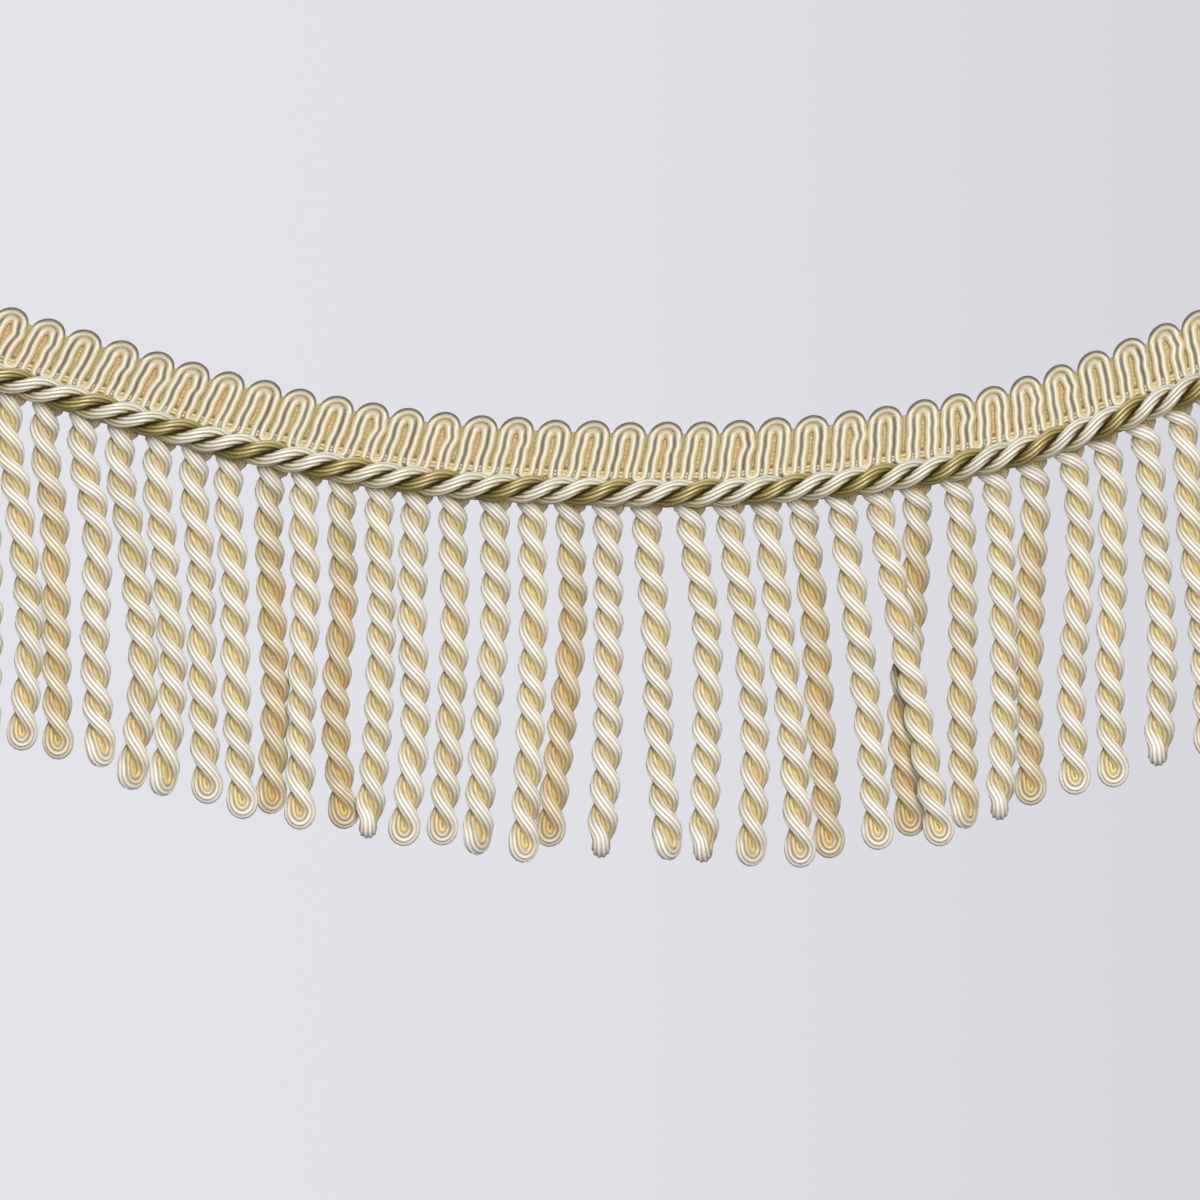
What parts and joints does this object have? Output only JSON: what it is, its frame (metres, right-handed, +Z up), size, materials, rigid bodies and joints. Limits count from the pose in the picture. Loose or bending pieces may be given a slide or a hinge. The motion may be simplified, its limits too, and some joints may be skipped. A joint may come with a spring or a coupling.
{
  "type": "bullion fringe",
  "caption": "Ivory trimming with a looped heading, a twisted cord along its foot and a skirt of twisted ropes, hanging in a shallow swag.",
  "frame": {"origin": "middle of the heading's top edge, where the fringe is fastened", "axes": "+X to the right along the fringe, +Z up, front towards -Y"},
  "size_m": [0.326, 0.016, 0.1349],
  "materials": {
    "heading_yarn": "satin viscose yarn",
    "cord_yarn": "satin viscose yarn",
    "cord_gold_ply": "satin viscose yarn",
    "rope_yarn": "satin viscose yarn"
  },
  "bodies": {
    "root": {"heading": "heading_yarn", "cord": "cord_yarn", "skirt": "rope_yarn"}
  },
  "joints": []
}
